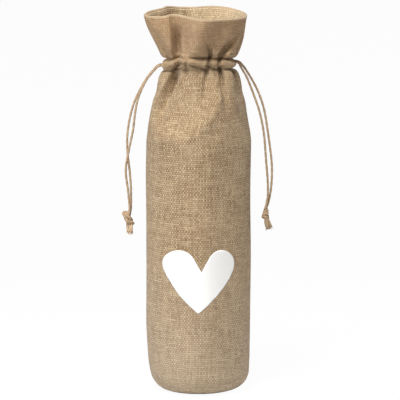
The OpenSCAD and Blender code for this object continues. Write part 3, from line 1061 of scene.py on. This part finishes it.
def clothSheet(rows, side, cut):
    # rows of (z, inset, extra lift, bunch) laid out evenly along the cloth, with UV in metres
    points, flat, run, before = [], [], 0.0, None
    for z, inset, rise, bunch in rows:
        left, right = seamAngles(z)
        low, high = (left, right) if side == "front" else (right, left + 360)
        dense = np.linspace(low, high, 1401)
        row = clothRow(z, dense, inset, bunch)
        row[:, 2] += rise
        path = np.concatenate([[0], np.cumsum(np.linalg.norm(np.diff(row[:, :2], axis=0), axis=1))])
        at = np.linspace(0, path[-1], cut["columns"])
        even = np.stack([np.interp(at, path, row[:, k]) for k in range(3)], axis=1)
        if before is not None:
            run += float(np.median(np.linalg.norm(even - before, axis=1)))
        before = even
        across = (np.linspace(0, 1, cut["columns"]) - 0.5) * cut["width"]
        points.append(even)
        flat.append(np.stack([across, np.full(cut["columns"], run)], axis=1))
    return np.array(points) * mm, np.array(flat) * (mm, mm * cut["length"] / run)


rimFold = {"inset": 2.3, "steps": 9, "lip": 0.5}
rowsAt = {"gathers": 280, "frill": 304, "facingFoot": 281.5, "bunched": (296.5, 309)}


def panelRows():
    foot = cornerR * (1 - math.cos(0.04))
    rows = [(foot, 0.55, 2.4, 0), (foot, 0.5, 1.0, 0), (foot, 0.3, 0.3, 0)]  # turned up at the base
    rows += [(cornerR * (1 - math.cos(a)), 0, 0, 0) for a in np.linspace(0.04, math.pi / 2, 14)]
    rows += [(z, 0, 0, 0) for z in np.linspace(cornerR, shoulderLow, 56)[1:]]
    rows += [(z, 0, 0, 0) for z in np.linspace(shoulderLow, rowsAt["gathers"], 46)[1:]]
    rows += [(z, 0, 0, 0) for z in np.linspace(rowsAt["gathers"], rowsAt["frill"], 41)[1:]]
    half = rimFold["inset"] / 2
    top = bag["height"] - half
    rows += [(z, 0, 0, 0) for z in np.linspace(rowsAt["frill"], top, 27)[1:]]
    for a in np.linspace(0, math.pi, rimFold["steps"])[1:]:
        rows.append((top, half * (1 - math.cos(a)), half * math.sin(a), 0))
    rows += [(top - d, rimFold["inset"], 0, 0) for d in np.linspace(0, rimFold["lip"], 3)[1:]]
    return rows


def facingRows():
    inset = rimFold["inset"] - bag["cloth"]
    top = bag["height"] - rimFold["inset"] / 2 - rimFold["lip"] - 0.05
    heights = np.concatenate([np.linspace(top, rowsAt["frill"], 24),
                              np.linspace(rowsAt["frill"], rowsAt["facingFoot"], 36)[1:]])
    return [(z, inset, 0, float(1 - smoothStep(z, *rowsAt["bunched"]))) for z in heights[::-1]]


panelCut = {"width": 150, "length": 372, "columns": 181}
facingCut = {"width": 150, "length": 62, "columns": 161}
for side in ("front", "back"):
    points, flat = clothSheet(panelRows(), side, panelCut)
    panelMesh = gridMesh(points, flat, "cloth")
    bmesh.ops.smooth_vert(panelMesh, verts=panelMesh.verts, factor=0.25,
                          use_axis_x=True, use_axis_y=True, use_axis_z=True)
    panel = addPiece(side + "_panel_cloth", panelMesh, clothFinish)
    thicken(panel, bag["cloth"] * mm)
    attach(panel, "bag")
    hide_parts(side + "_panel")
    points, flat = clothSheet(facingRows(), side, facingCut)
    flat[:, :, 1] += panelCut["length"] * mm
    facing = addPiece(side + "_facing_cloth", gridMesh(points, flat, "cloth"), litInsideFinish)
    thicken(facing, (bag["cloth"] - 0.02) * mm)
    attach(facing, "bag")
    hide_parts(side + "_facing")
    print(side, "panel and facing", len(panel.data.polygons), len(facing.data.polygons), "faces")


# the round base, its edge turned up inside the bag
baseCut = {"radius": bag["baseR"] + 0.05, "turnUp": 2.4, "dome": 0.35, "rings": 26, "around": 96}
ringR = [max(baseCut["radius"] * k / baseCut["rings"], 0.01) for k in range(baseCut["rings"] + 1)]
ringZ = [baseCut["dome"] * (1 - (r / baseCut["radius"]) ** 2) for r in ringR]
ringR += [baseCut["radius"] + 0.12, baseCut["radius"] + 0.15]
ringZ += [0.5, baseCut["turnUp"]]
turns = np.linspace(0, 2 * math.pi, baseCut["around"] + 1)
disc = np.stack([np.outer(ringR, np.sin(turns)), np.outer(ringR, np.cos(turns)),
                 np.broadcast_to(np.array(ringZ)[:, None], (len(ringR), len(turns)))], axis=2) * mm
discFlat = disc[:, :, :2] * (1 + 0.02 * disc[:, :, 2:] / mm)
baseMesh = gridMesh(disc, discFlat, "cloth", True)
faceTowards(baseMesh, (0, 0, -1))
base = addPiece("base_panel_cloth", baseMesh, clothFinish)
thicken(base, bag["cloth"] * mm)
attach(base, "bag")
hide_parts("base_panel")


# seams inside: the turned-in edges along the sides and round the base
seam = {"width": 9, "thick": 1.1, "columns": 9, "behind": bag["cloth"] + 0.35, "curl": 0.012}
for name, at in (("left", -90), ("right", 90)):
    heights = np.concatenate([np.linspace(cornerR, shoulderLow, 40),
                              np.linspace(shoulderLow, rowsAt["facingFoot"], 30)[1:]])
    strip = []
    for z in heights:
        spread = np.degrees(seam["width"] / 2 / profileR(z))
        angle = np.linspace(at - spread, at + spread, seam["columns"])
        row = clothRow(z, angle, seam["behind"])
        row[:, :2] *= 1 - seam["curl"] * (np.linspace(-1, 1, seam["columns"])[:, None] ** 2)
        strip.append(row)
    strip = np.array(strip) * mm
    stripFlat = np.stack(np.broadcast_arrays(
        np.linspace(-0.5, 0.5, seam["columns"])[None, :] * seam["width"] * mm,
        heights[:, None] * mm), axis=2)
    seamPiece = addPiece(name + "_seam_edges", gridMesh(strip, stripFlat, "cloth"), litInsideFinish)
    thicken(seamPiece, seam["thick"] * mm)
    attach(seamPiece, "bag")
    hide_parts(name + "_side_seam")

# the roll round the base: its section from the inside out, with a ragged inner edge
rollR = np.array([20.4, 21.5, 23.5, 25.5, 27.5, 28.8])
rollZ = np.array([1.9, 1.7, 1.65, 1.8, 2.3, 3.2])
ragged = 0.5 * np.sin(turns * 9 + 0.5) + 0.35 * np.sin(turns * 14)
rollPoints = np.stack([np.outer(rollR, np.sin(turns)), np.outer(rollR, np.cos(turns)),
                       rollZ[:, None] + np.linspace(0.4, 0, len(rollZ))[:, None] * np.abs(ragged)[None, :]],
                      axis=2) * mm
rollMesh = gridMesh(rollPoints, rollPoints[:, :, :2], "cloth", True)
faceTowards(rollMesh, (0, 0, 1))
roll = addPiece("base_seam_edges", rollMesh, litInsideFinish)
thicken(roll, seam["thick"] * mm, 1.0)
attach(roll, "bag")
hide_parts("base_seam")
print("base and seams made")


# rows of stitches in the creases above and below the channel
stitch = {
    "thread": 0.6,
    "length": 3.2,
    "count": 44,
    "lift": -0.05,
    "sides": 6,
    "bow": np.array([-0.9, 0.1, 0.5, 0.6, 0.5, 0.1, -0.9]),     # both ends go down into the cloth
    "slim": np.array([0.7, 1, 1, 1, 1, 1, 0.7]),
}
stitchSteps = len(stitch["bow"])
stitchHalf = np.degrees(stitch["length"] / 2 / bag["neckR"])
for which, name in enumerate(("upper", "lower")):
    stitchMesh = bmesh.new()
    for i in range(stitch["count"]):
        middle = -180 + 360 * (i + 0.5) / stitch["count"]
        angle = np.linspace(middle - stitchHalf, middle + stitchHalf, stitchSteps)
        crease = creaseHeights(angle)[which]
        line = np.array([clothRow(float(z), np.array([a - 0.5, a, a + 0.5]))[1]
                         for z, a in zip(crease, angle)])
        away = line[:, :2] / np.linalg.norm(line[:, :2], axis=1)[:, None]
        line[:, :2] += away * (stitch["bow"] * stitch["thread"] + stitch["lift"])[:, None]
        run = np.linspace(0, stitch["length"], stitchSteps)
        slim = stitch["thread"] / 2 * stitch["slim"]
        addTube(stitchMesh, line * mm, run * mm, slim * mm, stitch["sides"], shift=i * 0.01)
    stitches = addPiece(name + "_stitch_row", stitchMesh, threadFinish)
    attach(stitches, "bag")
    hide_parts(name + "_channel_stitches")


# printed heart: its outline cut into small faces and laid on the cloth
heart = {
    "width": heartHigh.x / mm - heartLow.x / mm,
    "height": (heartHigh.z - heartLow.z) / mm,
    "tip": heartLow.z / mm,
    "lobe": 13.3,
    "cleft": 18.8,
    "belly": 15,
    "lean": 2.7,            # how far the cleft leans to the right
    "leanOver": (-20, 3, 24),
    "leanRise": (0.35, 1.1),
    "film": 0.18,
    "lift": 0.12,
    "cutX": (-32, 32.1, 1.6),
    "cutZ": (2, 56, 2.0),
}


def heartOutline(shape):
    lobeX = shape["width"] / 2 - shape["lobe"]
    lobeY = shape["height"] - shape["lobe"]
    cleftY = shape["height"] - shape["cleft"]
    reach = math.hypot(lobeX, lobeY - cleftY)
    turn = math.atan2(lobeY - cleftY, lobeX) + math.pi / 2 + math.asin(shape["lobe"] / reach)
    half = []
    for t in np.linspace(0, 1, 40)[1:]:
        half.append((2 * t * (1 - t) * shape["width"] / 2 + t * t * shape["width"] / 2,
                     2 * t * (1 - t) * (lobeY - shape["belly"]) + t * t * lobeY))
    for a in np.linspace(0, turn, 40)[1:]:
        half.append((lobeX + shape["lobe"] * math.cos(a), lobeY + shape["lobe"] * math.sin(a)))
    other = [(-x, y) for x, y in reversed(half)]
    outline = [(0, 0)] + half + [(0, cleftY)] + other
    leanOver = (-shape["width"] / 2,) + shape["leanOver"]
    leanRise = [part * cleftY for part in shape["leanRise"]]
    shifts = [np.interp(x, leanOver, (0, 1, 1, 0)) for x, y in outline]
    rises = [smoothStep(y, *leanRise) for x, y in outline]
    return [(x + shape["lean"] * a * b, y) for (x, y), a, b in zip(outline, shifts, rises)]


heartMesh = bmesh.new()
corners = [heartMesh.verts.new((x, 0, y)) for x, y in heartOutline(heart)]
heartMesh.faces.new(corners)
cuts = [((x, 0, 0), (1, 0, 0)) for x in np.arange(*heart["cutX"])]
cuts += [((0, 0, y), (0, 0, 1)) for y in np.arange(*heart["cutZ"])]
for cutAt, square in cuts:
    bmesh.ops.bisect_plane(heartMesh, geom=heartMesh.verts[:] + heartMesh.edges[:] + heartMesh.faces[:],
                           dist=1e-6, plane_co=cutAt, plane_no=square)
heartUv = heartMesh.loops.layers.uv.new("cloth")
for vert in heartMesh.verts:
    x, z = vert.co.x, heart["tip"] + vert.co.z
    angle = math.degrees(math.asin(x / bag["bodyR"]))
    near = clothRow(z, np.array([angle - 0.2, angle, angle + 0.2]))[1]
    out = math.hypot(near[0], near[1])
    lifted = (out + heart["lift"]) / out
    vert.co = Vector((near[0] * lifted, near[1] * lifted, near[2])) * mm
for face in heartMesh.faces:
    for loop in face.loops:
        place = loop.vert.co
        loop[heartUv].uv = (math.atan2(place.x, -place.y) * bag["bodyR"] * mm, place.z)
faceTowards(heartMesh, (0, -1, 0))
heartPiece = addPiece("printed_heart", heartMesh, printFinish)
thicken(heartPiece, heart["film"] * mm, 1.0)
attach(heartPiece, "bag")
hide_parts("heart_print")
print("stitches and print made")


# twine inside the neck: a loop lying in the channel and two stubs out through each side
neckLoop = {"radius": 20.5, "wave": 0.6, "waves": 7, "gap": 8, "steps": 70}
neckStub = {"inside": 2.2, "above": 0.3, "bow": 0.2, "bendFrom": 20, "bendTo": 28}
opening = math.asin(neckLoop["gap"] / 2 / neckLoop["radius"])
around = np.linspace(opening, 2 * math.pi - opening, neckLoop["steps"])
loopR = neckLoop["radius"] + neckLoop["wave"] * np.sin(around * neckLoop["waves"])
for name, string in drawstrings.items():
    side = string["side"]
    lane = string["outlet"][2] / mm
    path = np.stack([side * loopR * np.cos(around), loopR * np.sin(around),
                     np.full(neckLoop["steps"], lane)], axis=1)
    loopMesh = bmesh.new()
    addTwine(loopMesh, path * mm, twine, 0.05)
    loopPiece = addPiece(name + "_loop_twine", loopMesh, twineFinish)
    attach(loopPiece, "bag")
    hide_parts(name + "_cord_loop")
    stubMesh = bmesh.new()
    inner = side * neckLoop["radius"] * math.cos(opening)
    for y in (neckLoop["gap"] / 2, -neckLoop["gap"] / 2):
        tip = string["outlet"] / mm + np.array((-side * neckStub["inside"], y, neckStub["above"]))
        middle = ((inner + tip[0]) / 2, y, lane + neckStub["bow"])
        stub = curveThrough([np.array(p) for p in ((inner, y, lane), middle, tip)], 8)
        addTwine(stubMesh, stub * mm, twine, 0.4)
    stubs = addPiece(name + "_stub_twine", stubMesh, twineFinish)
    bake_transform(stubs)
    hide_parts(name + "_cord_stubs")
print("loops and stubs made")
